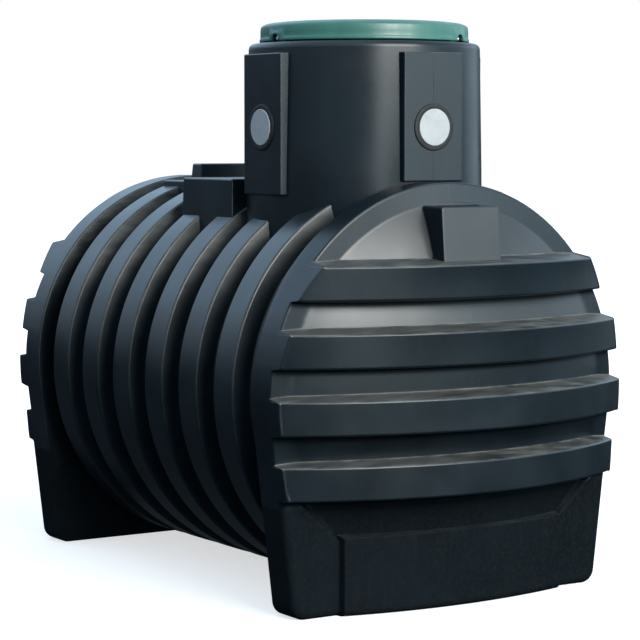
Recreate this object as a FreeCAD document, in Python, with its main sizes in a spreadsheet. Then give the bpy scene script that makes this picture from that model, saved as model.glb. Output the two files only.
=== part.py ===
import FreeCAD, Part
import math
import os
import Sketcher

# A free-standing rainwater retention tank: a ribbed lying barrel between two moulded end frames,
# with a round neck, a green cover and three plugged pipe connections.
# X runs along the barrel, Y across it, Z up; the origin is on the floor under the middle.

Vector = FreeCAD.Vector
Rotation = FreeCAD.Rotation
Placement = FreeCAD.Placement

SIZES = (
    ("skin", 10, "thickness of the moulded wall"),
    ("crown_radius", 622, "outer radius of the barrel ribs"),
    ("floor_gap", 5, "gap between the barrel ribs and the floor"),
    ("rib_pitch", 213, "distance from rib to rib"),
    ("crown_width", 104, "width of a rib at its crown"),
    ("base_width", 126, "width of a rib at its base"),
    ("rib_depth", 64, "depth of the grooves"),
    ("crown_rounding", 7, "rounding of the crown edges"),
    ("end_groove", 95.5, "width of the groove beside an end frame"),
    ("frame_width", 108, "width of an end frame along the barrel"),
    ("foot_half", 551, "half width of a foot on the floor"),
    ("foot_corner", 45, "rounding of the foot corners"),
    ("foot_rise", 20, "rise of the flat foot face"),
    ("foot_rounding", 16, "rounding of the edges of the foot face"),
    ("ring_width", 61, "width of the flat ring around the dish"),
    ("ring_rise", 8, "rise of the ring towards the dish"),
    ("dish_rise", 128, "rise of the dished end"),
    ("bar_reach", 226, "reach of the end bars beyond the frame"),
    ("bar_curve", 1158, "radius that the end bars follow"),
    ("bar_height", 97, "height of the front of a bar"),
    ("bar_pitch", 189, "distance from bar to bar"),
    ("bar_rise", 339.5, "height of the top bar above the barrel axis"),
    ("bar_depth", 150, "depth of the bar section"),
    ("bar_slope", 0.15, "slope of the upper and lower bar faces"),
    ("bar_rounding", 6, "rounding of the front edges of a bar"),
    ("panel_half", 390, "half width of the foot panel"),
    ("panel_reach", 91, "reach of the foot panel beyond the frame"),
    ("panel_curve", 1630, "radius of the foot panel"),
    ("panel_drop", 170, "distance of the foot panel below the middle of the lowest bar"),
    ("wedge_half", 104, "half width of the end wedge"),
    ("wedge_reach", 114, "reach of the end wedge beyond the frame"),
    ("wedge_rise", 553, "height of the end wedge above the barrel axis"),
    ("neck_setback", 453, "distance of the neck axis from the frame edge"),
    ("neck_radius", 366, "outer radius of the neck where it meets the barrel"),
    ("neck_taper", 8, "taper of the neck up to its shoulder"),
    ("neck_height", 419, "height of the neck above the barrel"),
    ("neck_rounding", 20, "rounding of the neck shoulder"),
    ("hatch_radius", 300, "radius of the clear opening"),
    ("collar_rise", 32, "height of the collar under the cover"),
    ("pad_proud", 6, "distance of a pad face from the neck"),
    ("pad_half", 106, "half width of a pad"),
    ("pad_drop", 35, "distance of the pads below the neck shoulder"),
    ("side_pad_drop", 42, "distance of the side pads below the barrel top"),
    ("front_pad_gap", 1, "gap between the front pad and the barrel top"),
    ("pipe_drop", 257, "distance of the pipe connections below the neck shoulder"),
    ("pipe_radius", 55, "radius of the pipe plugs"),
    ("seal_wall", 6, "thickness of a seal around its plug"),
    ("seal_lip", 10, "width of the lip of a seal"),
    ("seal_proud", 5, "height of a seal above its pad"),
    ("plug_proud", 7, "height of a plug above its pad"),
    ("plug_inside", 46, "depth of a plug and its seal behind the pad face"),
    ("plug_wall", 4, "thickness of a plug"),
    ("lid_play", 4, "play between the cover and the collar"),
    ("lid_gap", 4, "gap between the cover and the neck shoulder"),
    ("lid_rim", 42, "height of the cover rim"),
    ("lid_bevel", 19, "width of the sloping edge of the cover"),
    ("lid_slope", 15, "height of the sloping edge of the cover"),
    ("lid_dome", 6, "rise of the cover towards its middle"),
    ("lid_skin", 8, "thickness of the cover"),
    ("notch_radius", 25, "radius of the notches in the cover rim"),
    ("notch_drop", 5, "distance of the middle of a notch below the cover rim"),
    ("screw_radius", 8, "radius of a cover screw"),
    ("screw_gap", 3, "gap between a screw and the top of its notch"),
    ("screw_reach", 8, "length of a screw head"),
    ("saddle_half", 365, "half width of the block beside the neck"),
    ("saddle_rise", 3, "height of the block beside the neck above the barrel"),
    ("block_draft", 6, "draft of the top blocks"),
    ("ledge_half", 205, "half width of the ledge behind the block"),
    ("ledge_drop", 13, "distance of the ledge below the barrel top"),
    ("upstand_inset", 5, "distance of the upstand from the ledge sides"),
    ("upstand_gap", 160.5, "distance of the upstand from the block"),
    ("upstand_depth", 70, "depth of the upstand along the barrel"),
    ("upstand_height", 48, "height of the upstand above the ledge"),
)

# Values that follow from the sizes above.
DERIVED = (
    ("axis_height", "=Sizes.crown_radius + Sizes.floor_gap"),
    ("crown_top", "=axis_height + Sizes.crown_radius"),
    ("groove_radius", "=Sizes.crown_radius - Sizes.rib_depth"),
    ("bore_radius", "=groove_radius - Sizes.skin"),
    ("frame_start", "=Sizes.rib_pitch * 2.5 + Sizes.base_width / 2 + Sizes.end_groove"),
    ("frame_edge", "=frame_start + Sizes.frame_width"),
    ("wall_start", "=frame_edge - Sizes.skin"),
    ("dish_radius", "=Sizes.crown_radius - Sizes.ring_width"),
    ("dish_x", "=frame_edge + Sizes.ring_rise"),
    ("dish_ball", "=(dish_radius^2 + Sizes.dish_rise^2) / (2 * Sizes.dish_rise)"),
    ("ball_x", "=dish_x + Sizes.dish_rise - dish_ball"),
    ("inner_ball", "=dish_ball - Sizes.skin"),
    ("inner_dish", "=sqrt(inner_ball^2 - (dish_x - Sizes.skin - ball_x)^2)"),
    ("bar_apex", "=frame_edge + Sizes.bar_reach"),
    ("bar_first", "=axis_height + Sizes.bar_rise"),
    ("foot_top", "=bar_first - 3 * Sizes.bar_pitch"),
    ("panel_height", "=foot_top - Sizes.panel_drop"),
    ("panel_front", "=frame_edge + Sizes.panel_reach"),
    ("wedge_front", "=frame_edge + Sizes.wedge_reach"),
    ("wedge_top", "=axis_height + Sizes.wedge_rise"),
    ("neck_x", "=frame_edge - Sizes.neck_setback"),
    ("neck_top_radius", "=Sizes.neck_radius - Sizes.neck_taper"),
    ("neck_top", "=crown_top + Sizes.neck_height"),
    ("collar_radius", "=Sizes.hatch_radius + Sizes.skin"),
    ("collar_top", "=neck_top + Sizes.collar_rise"),
    ("pad_face", "=Sizes.neck_radius + Sizes.pad_proud"),
    ("pad_top", "=neck_top - Sizes.pad_drop"),
    ("side_pad_low", "=crown_top - Sizes.side_pad_drop"),
    ("front_pad_low", "=crown_top + Sizes.front_pad_gap"),
    ("pipe_height", "=neck_top - Sizes.pipe_drop"),
    ("pipe_start", "=pad_face - Sizes.plug_inside"),
    ("seal_sleeve", "=Sizes.pipe_radius + Sizes.seal_wall"),
    ("lid_radius", "=collar_radius + Sizes.lid_play + Sizes.lid_skin"),
    ("lid_shoulder", "=lid_radius - Sizes.lid_bevel"),
    ("lid_low", "=neck_top + Sizes.lid_gap"),
    ("lid_edge", "=lid_low + Sizes.lid_rim"),
    ("lid_flat", "=lid_edge + Sizes.lid_slope"),
    ("lid_top", "=lid_flat + Sizes.lid_dome"),
    ("notch_height", "=lid_low - Sizes.notch_drop"),
    ("screw_height", "=notch_height + Sizes.notch_radius - Sizes.screw_radius - Sizes.screw_gap"),
    ("saddle_x", "=Sizes.rib_pitch / 2 + Sizes.base_width / 2"),
    ("saddle_top", "=crown_top + Sizes.saddle_rise"),
    ("ledge_x", "=Sizes.rib_pitch * 2.5 + Sizes.base_width / 2"),
    ("ledge_top", "=crown_top - Sizes.ledge_drop"),
    ("upstand_x", "=saddle_x + Sizes.upstand_gap"),
    ("upstand_half", "=Sizes.ledge_half - Sizes.upstand_inset"),
    ("upstand_top", "=ledge_top + Sizes.upstand_height"),
)

doc = FreeCAD.newDocument("rainwater_tank")


def fill_sheet(name, rows):
    sheet = doc.addObject("Spreadsheet::Sheet", name)
    for line, row in enumerate(rows, 1):
        sheet.set(f"A{line}", row[-1] if len(row) == 3 else row[0])
        sheet.set(f"B{line}", str(row[1]))
        sheet.setAlias(f"B{line}", row[0])
    doc.recompute()
    return sheet


sizes = fill_sheet("Sizes", SIZES)
derived = fill_sheet("Derived", DERIVED)


def bind(thing, **formulas):
    for name, formula in formulas.items():
        thing.setExpression(name, formula)
    return thing


def place(thing, x="0", y="0", z="0"):
    thing.setExpression("Placement.Base.x", x)
    thing.setExpression("Placement.Base.y", y)
    thing.setExpression("Placement.Base.z", z)
    return thing


def origin_part(body, role):
    return [part for part in body.Origin.OriginFeatures if part.Role == role][0]


def new_sketch(body, plane):
    sketch = body.newObject("Sketcher::SketchObject", body.Name + "_profile")
    sketch.AttachmentSupport = (origin_part(body, plane), [""])
    sketch.MapMode = "FlatFace"
    return sketch


# A closed outline whose corners are held at the given places; it starts as a regular polygon.
def polygon(body, plane, corners):
    sketch = new_sketch(body, plane)
    count = len(corners)
    turns = [2 * math.pi * k / count for k in range(count)]
    reach = sizes.crown_radius
    start = [Vector(reach * (1 + math.cos(a) / 4), reach * (1 - math.sin(a) / 4), 0) for a in turns]
    for k in range(count):
        sketch.addGeometry(Part.LineSegment(start[k], start[(k + 1) % count]))
    for k in range(count):
        sketch.addConstraint(Sketcher.Constraint("Coincident", k, 2, (k + 1) % count, 1))
    for k, (across, up) in enumerate(corners):
        held = sketch.addConstraint(Sketcher.Constraint("DistanceX", -1, 1, k, 1, start[k].x))
        sketch.setExpression(f"Constraints[{held}]", across)
        held = sketch.addConstraint(Sketcher.Constraint("DistanceY", -1, 1, k, 1, start[k].y))
        sketch.setExpression(f"Constraints[{held}]", up)
    doc.recompute()
    return sketch


def circle(body, plane, radius, up):
    sketch = new_sketch(body, plane)
    reach = sizes.crown_radius
    sketch.addGeometry(Part.Circle(Vector(0, reach, 0), Vector(0, 0, 1), reach))
    sketch.addConstraint(Sketcher.Constraint("PointOnObject", 0, 3, -2))
    held = sketch.addConstraint(Sketcher.Constraint("DistanceY", -1, 1, 0, 3, reach))
    sketch.setExpression(f"Constraints[{held}]", up)
    held = sketch.addConstraint(Sketcher.Constraint("Radius", 0, reach))
    sketch.setExpression(f"Constraints[{held}]", radius)
    doc.recompute()
    return sketch


def revolve(name, corners, axis):
    body = doc.addObject("PartDesign::Body", name)
    turned = body.newObject("PartDesign::Revolution", name + "_turned")
    turned.Profile = polygon(body, "XZ_Plane", corners)
    turned.ReferenceAxis = (origin_part(body, axis), [""])
    turned.Angle = 360
    doc.recompute()
    return body


def pad(body, sketch, length):
    raised = body.newObject("PartDesign::Pad", body.Name + "_pad")
    raised.Profile = sketch
    bind(raised, Length=length)
    doc.recompute()
    return raised


def round_edges(body, radius, chosen):
    before = body.Tip
    names = [f"Edge{n}" for n, edge in enumerate(before.Shape.Edges, 1) if chosen(edge)]
    rounded = body.newObject("PartDesign::Fillet", body.Name + "_rounded")
    rounded.Base = (before, names)
    bind(rounded, Radius=radius)
    doc.recompute()
    return body


def is_ring(edge, radius):
    return isinstance(edge.Curve, Part.Circle) and abs(edge.Curve.Radius - radius) < 0.01


def runs_along(edge, direction):
    if not isinstance(edge.Curve, Part.Line):
        return False
    return abs(edge.Curve.Direction.dot(direction)) > 0.999


def block(name, x, y, z):
    made = doc.addObject("Part::Box", name)
    bind(made, Length=f"{x[1]} - ({x[0]})", Width=f"{y[1]} - ({y[0]})", Height=f"{z[1]} - ({z[0]})")
    return place(made, x[0], y[0], z[0])


def rod_along_x(name, radius, length, x):
    made = doc.addObject("Part::Cylinder", name)
    made.Placement = Placement(Vector(), Rotation(Vector(0, 1, 0), 90))
    bind(made, Radius=radius, Height=length)
    return place(made, x, "0", "Derived.axis_height")


# A rod that points away from the neck axis; the turn is counted from +X towards +Y.
def rod_from_neck(name, radius, length, turn, start, z):
    made = doc.addObject("Part::Cylinder", name)
    upright = Rotation(Vector(0, 0, 1), turn)
    made.Placement = Placement(Vector(), upright * Rotation(Vector(0, 1, 0), 90))
    bind(made, Radius=radius, Height=length)
    along = math.radians(turn)
    x = f"Derived.neck_x + ({start}) * {math.cos(along):.9f}"
    y = f"({start}) * {math.sin(along):.9f}"
    return place(made, x, y, z)


def disc_on_neck(name, radius, low, high):
    made = doc.addObject("Part::Cylinder", name)
    bind(made, Radius=radius, Height=f"{high} - ({low})")
    return place(made, "Derived.neck_x", "0", low)


def cut(name, base, *tools):
    for step, tool in enumerate(tools):
        made = doc.addObject("Part::Cut", f"{name}_{step}")
        made.Base = base
        made.Tool = tool
        base = made
    doc.recompute()
    return base


def common(name, *shapes):
    made = doc.addObject("Part::MultiCommon", name)
    made.Shapes = list(shapes)
    doc.recompute()
    return made


def fuse(name, *shapes):
    made = doc.addObject("Part::MultiFuse", name)
    made.Shapes = list(shapes)
    doc.recompute()
    return made


def mirrored(name, source):
    made = doc.addObject("Part::Mirroring", name)
    made.Source = source
    made.Normal = Vector(1, 0, 0)
    return made


nodes = {}


def keep(label, thing):
    thing.Label = label
    nodes[label] = thing
    return thing


# The neck: a tapered round shell with a rounded shoulder.
def neck_solid(name, inset):
    body = revolve(
        name,
        (
            ("0", "Derived.axis_height"),
            (f"Sizes.neck_radius - {inset}", "Derived.axis_height"),
            (f"Sizes.neck_radius - {inset}", "Derived.crown_top"),
            (f"Derived.neck_top_radius - {inset}", f"Derived.neck_top - {inset}"),
            ("0", f"Derived.neck_top - {inset}"),
        ),
        "Z_Axis",
    )
    edge = derived.neck_top_radius - (sizes.skin if "skin" in inset else 0)
    round_edges(body, f"Sizes.neck_rounding - {inset} * 0.5", lambda e: is_ring(e, edge))
    return place(body, "Derived.neck_x")


neck_outside = neck_solid("neck_outside", "0")
neck_inside = neck_solid("neck_inside", "Sizes.skin")
bore = rod_along_x("bore", "Derived.bore_radius", "2 * Derived.frame_edge", "-Derived.frame_edge")
core = rod_along_x("core", "Derived.groove_radius", "2 * Derived.frame_edge", "-Derived.frame_edge")


# The blocks on top of the barrel: a saddle beside the neck, a lower ledge and an upstand on it.
def top_block(name, rear, front, half, top):
    body = doc.addObject("PartDesign::Body", name)
    sketch = polygon(
        body,
        "XZ_Plane",
        (
            (rear, "Derived.axis_height + Derived.bore_radius / 2"),
            (rear, f"{top} - Sizes.rib_depth"),
            (f"{rear} + Sizes.block_draft", top),
            (f"{front} - Sizes.block_draft", top),
            (front, f"{top} - Sizes.rib_depth"),
            (front, "Derived.axis_height + Derived.bore_radius / 2"),
        ),
    )
    raised = pad(body, sketch, f"2 * {half}")
    raised.Midplane = True
    doc.recompute()
    return body


# The room above the barrel core that a top block takes out of the ribs.
def block_room(name, rear, front, half):
    room = block(
        name,
        (rear, front),
        (f"-{half}", half),
        ("Derived.axis_height", "Derived.upstand_top"),
    )
    return cut(name + "_above_core", room, core)


saddle_ends = ("-Derived.saddle_x", "Derived.saddle_x")
ledge_ends = ("-Derived.ledge_x", "-Derived.saddle_x")
saddle_body = top_block("saddle_body", *saddle_ends, "Sizes.saddle_half", "Derived.saddle_top")
ledge_body = top_block("ledge_body", *ledge_ends, "Sizes.ledge_half", "Derived.ledge_top")
saddle_room = block_room("saddle_room", *saddle_ends, "Sizes.saddle_half")
ledge_room = block_room("ledge_room", *ledge_ends, "Sizes.ledge_half")
keep("saddle_block", cut("saddle", saddle_body, core, neck_outside))
keep("rear_ledge", cut("ledge", ledge_body, core))
keep(
    "ledge_upstand",
    block(
        "upstand",
        ("-Derived.upstand_x - Sizes.upstand_depth", "-Derived.upstand_x"),
        ("-Derived.upstand_half", "Derived.upstand_half"),
        ("Derived.ledge_top", "Derived.upstand_top"),
    ),
)


# One barrel rib: a hollow ring with sloping sides.
def rib(number):
    body = revolve(
        f"rib_{number}",
        (
            ("-Sizes.base_width / 2", "Derived.bore_radius"),
            ("-Sizes.base_width / 2", "Derived.groove_radius"),
            ("-Sizes.crown_width / 2", "Sizes.crown_radius"),
            ("Sizes.crown_width / 2", "Sizes.crown_radius"),
            ("Sizes.base_width / 2", "Derived.groove_radius"),
            ("Sizes.base_width / 2", "Derived.bore_radius"),
            ("Sizes.base_width / 2 - Sizes.skin", "Derived.bore_radius"),
            ("Sizes.crown_width / 2 - Sizes.skin", "Sizes.crown_radius - Sizes.skin"),
            ("-Sizes.crown_width / 2 + Sizes.skin", "Sizes.crown_radius - Sizes.skin"),
            ("-Sizes.base_width / 2 + Sizes.skin", "Derived.bore_radius"),
        ),
        "X_Axis",
    )
    round_edges(body, "Sizes.crown_rounding", lambda edge: is_ring(edge, sizes.crown_radius))
    return place(body, f"Sizes.rib_pitch * {number - 3.5}", "0", "Derived.axis_height")


rib_cuts = {1: [ledge_room], 2: [ledge_room], 3: [saddle_room], 4: [saddle_room, neck_outside]}
for number in range(1, 7):
    name = f"barrel_rib_{number}"
    keep(name, cut(name, rib(number), *rib_cuts.get(number, [neck_outside])))


# One groove between two ribs, or between a rib and an end frame.
def groove(number):
    start = f"Sizes.rib_pitch * {number - 4.5} + Sizes.base_width / 2"
    end = f"Sizes.rib_pitch * {number - 3.5} - Sizes.base_width / 2"
    if number == 1:
        start = "-Derived.frame_start"
    if number == 7:
        end = "Derived.frame_start"
    ring = rod_along_x(f"groove_{number}", "Derived.groove_radius", f"{end} - ({start})", start)
    tools = [bore, neck_outside] if number > 3 else [bore]
    return cut(f"groove_ring_{number}", ring, *tools)


for number in range(1, 8):
    keep(f"barrel_groove_{number}", groove(number))


# The outline of an end frame: a round top that runs tangent into two sloping flanks and a flat foot.
def outline(name, x, length, inset):
    body = doc.addObject("PartDesign::Body", name)
    phi = "atan2(Sizes.foot_half; Derived.axis_height)"
    reach = "sqrt(Sizes.foot_half^2 + Derived.axis_height^2)"
    turn = f"({phi} + acos(Sizes.crown_radius / {reach}))"
    side = f"(Sizes.crown_radius - {inset}) * sin({turn})"
    up = f"Derived.axis_height - (Sizes.crown_radius - {inset}) * cos({turn})"
    half = f"(Sizes.foot_half - {inset})"
    corners = ((f"-{half}", inset), (half, inset), (side, up), (f"-({side})", up))
    pad(body, polygon(body, "YZ_Plane", corners), length)
    low = sizes.skin if "skin" in inset else 0
    round_edges(
        body,
        f"Sizes.foot_corner - {inset}",
        lambda edge: runs_along(edge, Vector(1, 0, 0)) and abs(edge.Vertexes[0].Z - low) < 0.01,
    )
    pad(body, circle(body, "YZ_Plane", f"Sizes.crown_radius - {inset}", "Derived.axis_height"), length)
    return place(body, x)


frame_length = "Derived.wall_start - Derived.frame_start"
frame_outside = outline("frame_outside", "Derived.frame_start", frame_length, "0")
frame_inside = outline("frame_inside", "Derived.frame_start + Sizes.skin", frame_length, "Sizes.skin")
end_space = outline("end_space", "Derived.frame_edge", "Sizes.bar_reach", "0")
frame = cut("frame", frame_outside, frame_inside, bore)


# The dished end: a ball cap inside a nearly flat ring.
def dished_solid(name, ball, start_x, edge_x, ring_radius, dish_radius):
    sphere = doc.addObject("Part::Sphere", name + "_ball")
    bind(sphere, Radius=ball)
    place(sphere, "Derived.ball_x", "0", "Derived.axis_height")
    beyond = rod_along_x(name + "_beyond", "Sizes.crown_radius", "2 * Sizes.dish_rise", edge_x)
    ring = doc.addObject("Part::Cone", name + "_ring")
    ring.Placement = Placement(Vector(), Rotation(Vector(0, 1, 0), 90))
    bind(ring, Radius1=ring_radius, Radius2=dish_radius, Height=f"{edge_x} - {start_x}")
    place(ring, start_x, "0", "Derived.axis_height")
    return fuse(name, ring, common(name + "_cap", sphere, beyond))


# The flat face below the dish, down to the foot.
def foot_face(name, start_x, inset, top):
    face = outline(name + "_face", start_x, "Sizes.foot_rise", inset)
    if inset == "0":
        round_edges(
            face,
            "Sizes.foot_rounding",
            lambda edge: all(abs(point.X - sizes.foot_rise) < 0.01 for point in edge.Vertexes),
        )
    below = block(
        name + "_below",
        (start_x, f"{start_x} + Sizes.foot_rise"),
        ("-Sizes.crown_radius", "Sizes.crown_radius"),
        ("0", top),
    )
    return common(name, face, below)


end_outside = fuse(
    "end_outside",
    outline("end_plate", "Derived.wall_start", "Sizes.skin", "0"),
    dished_solid(
        "dish_outside",
        "Derived.dish_ball",
        "Derived.frame_edge",
        "Derived.dish_x",
        "Sizes.crown_radius",
        "Derived.dish_radius",
    ),
    foot_face("foot_outside", "Derived.frame_edge", "0", "Derived.foot_top"),
)
end_inside = fuse(
    "end_inside",
    dished_solid(
        "dish_inside",
        "Derived.inner_ball",
        "Derived.wall_start",
        "(Derived.dish_x - Sizes.skin)",
        "Sizes.crown_radius - Sizes.skin",
        "Derived.inner_dish",
    ),
    foot_face("foot_inside", "Derived.wall_start", "Sizes.skin", "Derived.foot_top - Sizes.skin"),
)
end_wall = cut("end_wall", end_outside, end_inside)


# A curved bar across the dished end; its section narrows towards the front.
def bar(number):
    middle = f"(Derived.bar_first - Sizes.bar_pitch * {number - 1})"
    off = f"({middle} - Derived.axis_height)"
    centre = f"Derived.bar_apex - 2 * Sizes.bar_curve + sqrt(Sizes.bar_curve^2 - {off}^2)"
    back = "Sizes.bar_curve - Sizes.bar_depth"
    wide = "Sizes.bar_height / 2 + Sizes.bar_slope * Sizes.bar_depth"
    body = revolve(
        f"bar_{number}",
        (
            (back, f"-({wide})"),
            ("Sizes.bar_curve", "-Sizes.bar_height / 2"),
            ("Sizes.bar_curve", "Sizes.bar_height / 2"),
            (back, wide),
        ),
        "Z_Axis",
    )
    round_edges(body, "Sizes.bar_rounding", lambda edge: is_ring(edge, sizes.bar_curve))
    place(body, centre, "0", middle)
    return cut(f"bar_{number}_seated", common(f"bar_{number}_trimmed", body, end_space), end_outside)


bars = [bar(number) for number in range(1, 5)]
wedge_block = block(
    "wedge_block",
    ("Derived.frame_edge", "Derived.wedge_front"),
    ("-Sizes.wedge_half", "Sizes.wedge_half"),
    ("Derived.bar_first", "Derived.wedge_top"),
)
wedge = cut("wedge", wedge_block, end_outside, bars[0])
panel_round = doc.addObject("Part::Cylinder", "panel_round")
bind(panel_round, Radius="Sizes.panel_curve", Height="Derived.panel_height")
place(panel_round, "Derived.panel_front - Sizes.panel_curve")
panel_block = block(
    "panel_block",
    ("Derived.frame_edge", "Derived.bar_apex"),
    ("-Sizes.panel_half", "Sizes.panel_half"),
    ("0", "Derived.panel_height"),
)
panel = cut("panel", common("panel_curved", panel_round, panel_block), end_outside)

keep("front_end_frame", cut("front_frame", frame, neck_outside))
keep("front_end_wall", end_wall)
for number, made in enumerate(bars, 1):
    keep(f"front_bar_{number}", made)
keep("front_wedge", wedge)
keep("front_foot_panel", panel)
keep("rear_end_frame", mirrored("rear_frame", frame))
keep("rear_end_wall", mirrored("rear_wall", end_wall))
for number, made in enumerate(bars, 1):
    keep(f"rear_bar_{number}", mirrored(f"rear_bar_{number}", made))
keep("rear_wedge", mirrored("rear_wedge", wedge))
keep("rear_foot_panel", mirrored("rear_panel", panel))

# The three pipe connections: a flat pad on the neck, a seal in its hole and a plug in the seal.
CONNECTIONS = (
    ("left", -90, "Derived.side_pad_low"),
    ("front", 0, "Derived.front_pad_low"),
    ("right", 90, "Derived.side_pad_low"),
)


def pad_block(name, turn, low):
    made = doc.addObject("Part::Box", name)
    made.Placement = Placement(Vector(), Rotation(Vector(0, 0, 1), turn))
    bind(made, Length="Derived.pad_face", Width="2 * Sizes.pad_half", Height=f"Derived.pad_top - {low}")
    along = math.radians(turn)
    x = f"Derived.neck_x + Sizes.pad_half * {math.sin(along):.9f}"
    y = f"-Sizes.pad_half * {math.cos(along):.9f}"
    return place(made, x, y, low)


def pipe_rod(name, radius, length, turn, start="Derived.pipe_start"):
    return rod_from_neck(name, radius, length, turn, start, "Derived.pipe_height")


pipe_holes = []
for side, turn, low in CONNECTIONS:
    hole = pipe_rod(f"hole_{side}", "Derived.seal_sleeve", "2 * Sizes.plug_inside", turn)
    pipe_holes.append(hole)
    pad_body = pad_block(f"pad_block_{side}", turn, low)
    keep(f"neck_pad_{side}", cut(f"pad_{side}", pad_body, neck_outside, hole))
    lip = "Derived.seal_sleeve + Sizes.seal_lip"
    flange = pipe_rod(f"flange_{side}", lip, "Sizes.seal_proud", turn, "Derived.pad_face")
    sleeve = pipe_rod(f"sleeve_{side}", "Derived.seal_sleeve", "Sizes.plug_inside", turn)
    plug_length = "Sizes.plug_inside + Sizes.plug_proud"
    plug = pipe_rod(f"plug_{side}", "Sizes.pipe_radius", plug_length, turn)
    inner = "Sizes.pipe_radius - Sizes.plug_wall"
    hollow = pipe_rod(f"hollow_{side}", inner, f"{plug_length} - Sizes.plug_wall", turn)
    keep(f"pipe_seal_{side}", cut(f"seal_{side}", fuse(f"seal_body_{side}", flange, sleeve), plug))
    keep(f"pipe_plug_{side}", cut(f"plug_cup_{side}", plug, hollow))

shoulder_low = "(Derived.neck_top - Sizes.neck_rounding)"
above = disc_on_neck("above", "2 * Sizes.neck_radius", shoulder_low, "Derived.lid_top")
hatch = disc_on_neck("hatch", "Sizes.hatch_radius", "Derived.crown_top", "Derived.lid_top")
neck_shell = cut("neck_shell", neck_outside, neck_inside, hatch, bore, *pipe_holes)
collar = disc_on_neck("collar", "Derived.collar_radius", "Derived.neck_top", "Derived.collar_top")
keep("neck_wall", cut("neck_wall", neck_shell, above))
keep("neck_shoulder", common("neck_shoulder", neck_shell, above))
keep("neck_collar", cut("neck_collar", collar, hatch))

# The cover: a shallow cap with a rim; three notches in the rim show the screws.
lid_body = revolve(
    "lid_body",
    (
        ("0", "Derived.lid_top"),
        ("Derived.lid_shoulder", "Derived.lid_flat"),
        ("Derived.lid_radius", "Derived.lid_edge"),
        ("Derived.lid_radius", "Derived.lid_low"),
        ("Derived.lid_radius - Sizes.lid_skin", "Derived.lid_low"),
        ("Derived.lid_radius - Sizes.lid_skin", "Derived.collar_top"),
        ("Sizes.hatch_radius", "Derived.collar_top"),
        ("Sizes.hatch_radius", "Derived.lid_flat - Sizes.lid_skin"),
        ("0", "Derived.lid_top - Sizes.lid_skin"),
    ),
    "Z_Axis",
)
round_edges(
    lid_body,
    "Sizes.lid_skin",
    lambda edge: is_ring(edge, derived.lid_radius) and edge.Vertexes[0].Z > derived.lid_low + 1,
)
place(lid_body, "Derived.neck_x")
TURNS = (-90, 30, 150)


def rim_rods(name, radius, length, start, z):
    return [rod_from_neck(f"{name}_{turn % 360}", radius, length, turn, start, z) for turn in TURNS]


notch_start = "Derived.lid_radius - 1.5 * Sizes.lid_skin"
notches = rim_rods("notch", "Sizes.notch_radius", "4 * Sizes.lid_skin", notch_start, "Derived.notch_height")
keep("lid", cut("lid", lid_body, *notches))
screw_set = doc.addObject("Part::Compound", "screw_set")
screw_set.Links = rim_rods(
    "screw", "Sizes.screw_radius", "Sizes.screw_reach", "Derived.collar_radius", "Derived.screw_height"
)
keep("lid_screws", screw_set)

doc.recompute()
for thing in doc.Objects:
    if "Invalid" in thing.State or "Error" in thing.State:
        raise RuntimeError(f"{thing.Name} {thing.State}")
os.makedirs("parts", exist_ok=True)
for label, thing in nodes.items():
    shape = thing.Shape
    if shape.isNull() or not shape.isValid() or not shape.Solids:
        raise RuntimeError(f"{label} has no sound solid")
    shape.exportStep(f"parts/{label}.step")
    print(label, len(shape.Solids), round(shape.Volume / 1e6, 3), shape.BoundBox)
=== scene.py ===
import math

import bmesh
import bpy
import numpy as np
from mathutils import Matrix


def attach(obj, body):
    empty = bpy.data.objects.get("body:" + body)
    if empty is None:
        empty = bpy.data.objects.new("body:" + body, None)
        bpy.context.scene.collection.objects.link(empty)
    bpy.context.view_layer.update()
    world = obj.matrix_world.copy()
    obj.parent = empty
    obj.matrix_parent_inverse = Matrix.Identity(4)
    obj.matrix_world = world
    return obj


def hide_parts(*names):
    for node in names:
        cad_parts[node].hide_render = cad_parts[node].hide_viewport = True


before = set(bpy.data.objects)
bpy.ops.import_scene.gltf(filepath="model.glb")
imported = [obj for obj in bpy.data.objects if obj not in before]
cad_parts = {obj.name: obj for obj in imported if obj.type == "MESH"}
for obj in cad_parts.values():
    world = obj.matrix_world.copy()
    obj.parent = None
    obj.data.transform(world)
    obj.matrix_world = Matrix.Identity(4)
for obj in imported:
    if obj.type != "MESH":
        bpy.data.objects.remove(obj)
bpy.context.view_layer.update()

# X runs along the barrel, Y across it and Z up, in metres; the near end is at +X.
tank = dict(axis=0.627, crown=0.622, groove=0.558, skin=0.010, neckX=0.346)


# The larger of two heights; where they come within the width, a fillet joins them.
def softMax(a, b, width):
    share = np.clip(0.5 + 0.5 * (a - b) / width, 0, 1)
    return b + (a - b) * share + width * share * (1 - share)


# The smaller of two heights, joined in the same way.
def softMin(a, b, width):
    return -softMax(-a, -b, width)


# A number that goes from 0 to 1 between two limits, with level ends.
def ramp(value, low, high):
    t = np.clip((value - low) / (high - low), 0, 1)
    return t * t * (3 - 2 * t)


# A value part of the way from the first to the second of two.
def fade(ends, share):
    return ends[0] + (ends[1] - ends[0]) * share


# How far places are from the barrel axis.
def offAxis(y, z):
    return np.hypot(y, z - tank["axis"])


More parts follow.
